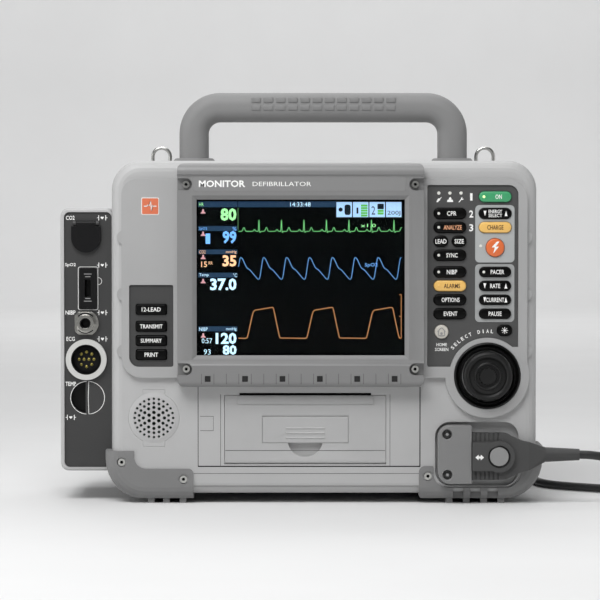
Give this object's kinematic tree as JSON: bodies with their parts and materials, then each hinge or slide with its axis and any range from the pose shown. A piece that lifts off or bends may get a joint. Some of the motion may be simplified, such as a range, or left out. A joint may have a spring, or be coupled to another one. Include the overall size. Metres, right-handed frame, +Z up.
{
  "type": "defibrillator",
  "caption": "Portable monitor and defibrillator with a display, key panels, select dial, strip printer, patient ports, carrying handle, rear batteries and a therapy cable.",
  "frame": {"origin": "middle of the footprint, on the surface that it stands on", "axes": "+Z up, the front faces -Y, +X to the right as seen from the front"},
  "size_m": [0.4962, 0.3757, 0.3434],
  "materials": {
    "case_plastic": "fine texture",
    "bezel_plastic": "fine texture",
    "frame_plastic": "fine texture",
    "window_glass": "anti-glare",
    "lcd_glass": "dark display",
    "panel_film": "satin film",
    "side_film": "satin film",
    "handle_rubber": "soft touch",
    "ring_steel": "stainless wire",
    "bumper_rubber": "matt",
    "screw_steel": "stainless",
    "port_plastic": "fine texture",
    "socket_plastic": "moulded",
    "port_metal": "plated brass",
    "ecg_metal": "anodised",
    "receptacle_plastic": "moulded",
    "module_board": "coated",
    "door_plastic": "fine texture",
    "roller_rubber": "ground",
    "paper": "thermal",
    "spindle_steel": "turned",
    "knob_plastic": "satin black",
    "plug_plastic": "moulded",
    "release_plastic": "moulded",
    "boot_rubber": "moulded",
    "cable_jacket": "satin jacket",
    "pads_plastic": "moulded",
    "battery_plastic": "fine texture",
    "key_green": "translucent",
    "key_orange": "translucent",
    "key_yellow": "translucent",
    "key_beige": "satin",
    "key_black": "satin"
  },
  "bodies": {
    "root": {"front_case": "case_plastic", "rear_case": "case_plastic", "front_bezel": "bezel_plastic", "display_frame": "frame_plastic", "display_window": "window_glass", "lcd_panel": "lcd_glass", "control_panel": "panel_film", "side_panel": "side_film", "handle": "handle_rubber", "strap_rings": "ring_steel", "bumpers": "bumper_rubber", "case_screws": "screw_steel", "port_case": "case_plastic", "port_panel": "port_plastic", "spo2_port": "socket_plastic", "nibp_port": "port_metal", "ecg_port": "ecg_metal", "speaker_grille": "case_plastic", "printer_housing": "case_plastic", "therapy_receptacle": "receptacle_plastic", "internal_modules": "module_board", "rear_connectors": "socket_plastic"},
    "co2_door": {"co2_door": "socket_plastic"},
    "printer_door": {"printer_door": "door_plastic"},
    "door_latch": {"door_latch": "door_plastic"},
    "platen_roller": {"platen_roller": "roller_rubber"},
    "paper_roll": {"paper_roll": "paper"},
    "dial_spindle": {"dial_spindle": "spindle_steel"},
    "dial_knob": {"dial_knob": "knob_plastic"},
    "battery_left": {"battery_left": "battery_plastic"},
    "battery_right": {"battery_right": "battery_plastic"},
    "therapy_plug": {"therapy_plug": "plug_plastic", "strain_relief": "boot_rubber", "cord_tube": "cable_jacket", "cord_coil": "cable_jacket", "pads_connector": "pads_plastic"},
    "plug_release": {"plug_release": "release_plastic"},
    "key_cpr": {"key_cpr": "key_black"},
    "key_analyze": {"key_analyze": "key_black"},
    "key_lead": {"key_lead": "key_black"},
    "key_size": {"key_size": "key_black"},
    "key_sync": {"key_sync": "key_black"},
    "key_nibp": {"key_nibp": "key_black"},
    "key_alarms": {"key_alarms": "key_yellow"},
    "key_options": {"key_options": "key_black"},
    "key_event": {"key_event": "key_black"},
    "key_home": {"key_home": "key_beige"},
    "key_on": {"key_on": "key_green"},
    "key_energy": {"key_energy": "key_black"},
    "key_charge": {"key_charge": "key_yellow"},
    "key_shock": {"key_shock": "key_orange"},
    "key_pacer": {"key_pacer": "key_black"},
    "key_rate": {"key_rate": "key_black"},
    "key_current": {"key_current": "key_black"},
    "key_pause": {"key_pause": "key_black"},
    "key_mode": {"key_mode": "key_black"},
    "key_twelve_lead": {"key_twelve_lead": "key_black"},
    "key_transmit": {"key_transmit": "key_black"},
    "key_summary": {"key_summary": "key_black"},
    "key_print": {"key_print": "key_black"}
  },
  "joints": [
    {"name": "key_cpr_press", "type": "slide", "parent": "root", "child": "key_cpr", "axis": [0, 1, 0], "range_m": [0, 0.001], "stiffness_N_per_m": 400, "springref_m": -0.001},
    {"name": "key_analyze_press", "type": "slide", "parent": "root", "child": "key_analyze", "axis": [0, 1, 0], "range_m": [0, 0.001], "stiffness_N_per_m": 400, "springref_m": -0.001},
    {"name": "key_lead_press", "type": "slide", "parent": "root", "child": "key_lead", "axis": [0, 1, 0], "range_m": [0, 0.001], "stiffness_N_per_m": 400, "springref_m": -0.001},
    {"name": "key_size_press", "type": "slide", "parent": "root", "child": "key_size", "axis": [0, 1, 0], "range_m": [0, 0.001], "stiffness_N_per_m": 400, "springref_m": -0.001},
    {"name": "key_sync_press", "type": "slide", "parent": "root", "child": "key_sync", "axis": [0, 1, 0], "range_m": [0, 0.001], "stiffness_N_per_m": 400, "springref_m": -0.001},
    {"name": "key_nibp_press", "type": "slide", "parent": "root", "child": "key_nibp", "axis": [0, 1, 0], "range_m": [0, 0.001], "stiffness_N_per_m": 400, "springref_m": -0.001},
    {"name": "key_alarms_press", "type": "slide", "parent": "root", "child": "key_alarms", "axis": [0, 1, 0], "range_m": [0, 0.001], "stiffness_N_per_m": 400, "springref_m": -0.001},
    {"name": "key_options_press", "type": "slide", "parent": "root", "child": "key_options", "axis": [0, 1, 0], "range_m": [0, 0.001], "stiffness_N_per_m": 400, "springref_m": -0.001},
    {"name": "key_event_press", "type": "slide", "parent": "root", "child": "key_event", "axis": [0, 1, 0], "range_m": [0, 0.001], "stiffness_N_per_m": 400, "springref_m": -0.001},
    {"name": "key_home_press", "type": "slide", "parent": "root", "child": "key_home", "axis": [0, 1, 0], "range_m": [0, 0.001], "stiffness_N_per_m": 400, "springref_m": -0.001},
    {"name": "key_on_press", "type": "slide", "parent": "root", "child": "key_on", "axis": [0, 1, 0], "range_m": [0, 0.001], "stiffness_N_per_m": 400, "springref_m": -0.001},
    {"name": "key_energy_press", "type": "slide", "parent": "root", "child": "key_energy", "axis": [0, 1, 0], "range_m": [0, 0.001], "stiffness_N_per_m": 400, "springref_m": -0.001},
    {"name": "key_charge_press", "type": "slide", "parent": "root", "child": "key_charge", "axis": [0, 1, 0], "range_m": [0, 0.001], "stiffness_N_per_m": 400, "springref_m": -0.001},
    {"name": "key_shock_press", "type": "slide", "parent": "root", "child": "key_shock", "axis": [0, 1, 0], "range_m": [0, 0.001], "stiffness_N_per_m": 400, "springref_m": -0.001},
    {"name": "key_pacer_press", "type": "slide", "parent": "root", "child": "key_pacer", "axis": [0, 1, 0], "range_m": [0, 0.001], "stiffness_N_per_m": 400, "springref_m": -0.001},
    {"name": "key_rate_press", "type": "slide", "parent": "root", "child": "key_rate", "axis": [0, 1, 0], "range_m": [0, 0.001], "stiffness_N_per_m": 400, "springref_m": -0.001},
    {"name": "key_current_press", "type": "slide", "parent": "root", "child": "key_current", "axis": [0, 1, 0], "range_m": [0, 0.001], "stiffness_N_per_m": 400, "springref_m": -0.001},
    {"name": "key_pause_press", "type": "slide", "parent": "root", "child": "key_pause", "axis": [0, 1, 0], "range_m": [0, 0.001], "stiffness_N_per_m": 400, "springref_m": -0.001},
    {"name": "key_mode_press", "type": "slide", "parent": "root", "child": "key_mode", "axis": [0, 1, 0], "range_m": [0, 0.001], "stiffness_N_per_m": 400, "springref_m": -0.001},
    {"name": "key_twelve_lead_press", "type": "slide", "parent": "root", "child": "key_twelve_lead", "axis": [0, 1, 0], "range_m": [0, 0.001], "stiffness_N_per_m": 400, "springref_m": -0.001},
    {"name": "key_transmit_press", "type": "slide", "parent": "root", "child": "key_transmit", "axis": [0, 1, 0], "range_m": [0, 0.001], "stiffness_N_per_m": 400, "springref_m": -0.001},
    {"name": "key_summary_press", "type": "slide", "parent": "root", "child": "key_summary", "axis": [0, 1, 0], "range_m": [0, 0.001], "stiffness_N_per_m": 400, "springref_m": -0.001},
    {"name": "key_print_press", "type": "slide", "parent": "root", "child": "key_print", "axis": [0, 1, 0], "range_m": [0, 0.001], "stiffness_N_per_m": 400, "springref_m": -0.001},
    {"name": "dial_press", "type": "slide", "parent": "root", "child": "dial_spindle", "axis": [0, 1, 0], "range_m": [0, 0.001], "stiffness_N_per_m": 600, "springref_m": -0.001},
    {"name": "dial_turn", "type": "hinge", "parent": "dial_spindle", "child": "dial_knob", "pos_m": [0.15375, -0.1085, 0.1059], "axis": [0, 1, 0], "continuous": true},
    {"name": "printer_door_open", "type": "hinge", "parent": "root", "child": "printer_door", "pos_m": [0.00355, -0.0983, 0.035], "axis": [1, 0, 0], "range_deg": [0, 90]},
    {"name": "door_latch_lift", "type": "hinge", "parent": "printer_door", "child": "door_latch", "pos_m": [0.00355, -0.0992, 0.071], "axis": [-1, 0, 0], "range_deg": [0, 25], "stiffness_Nm_per_rad": 0.05, "springref_deg": -17.19},
    {"name": "paper_roll_turn", "type": "hinge", "parent": "root", "child": "paper_roll", "pos_m": [0.00355, -0.0575, 0.0589], "axis": [1, 0, 0], "continuous": true},
    {"name": "platen_turn", "type": "hinge", "parent": "root", "child": "platen_roller", "pos_m": [0.00355, -0.0875, 0.08], "axis": [1, 0, 0], "continuous": true},
    {"name": "co2_door_open", "type": "hinge", "parent": "root", "child": "co2_door", "pos_m": [-0.17905, -0.0795, 0.2318], "axis": [-1, 0, 0], "range_deg": [0, 110]},
    {"name": "plug_slide", "type": "slide", "parent": "root", "child": "therapy_plug", "axis": [1, 0, 0], "range_m": [0, 0.016]},
    {"name": "plug_release_press", "type": "slide", "parent": "therapy_plug", "child": "plug_release", "axis": [0, 1, 0], "range_m": [0, 0.002], "stiffness_N_per_m": 600, "springref_m": -0.001},
    {"name": "battery_left_slide", "type": "slide", "parent": "root", "child": "battery_left", "axis": [0, 1, 0], "range_m": [0, 0.03]},
    {"name": "battery_right_slide", "type": "slide", "parent": "root", "child": "battery_right", "axis": [0, 1, 0], "range_m": [0, 0.03]}
  ],
  "couplings": [
    {"joint": "platen_turn", "follows": "paper_roll_turn", "ratio": 4.4}
  ]
}
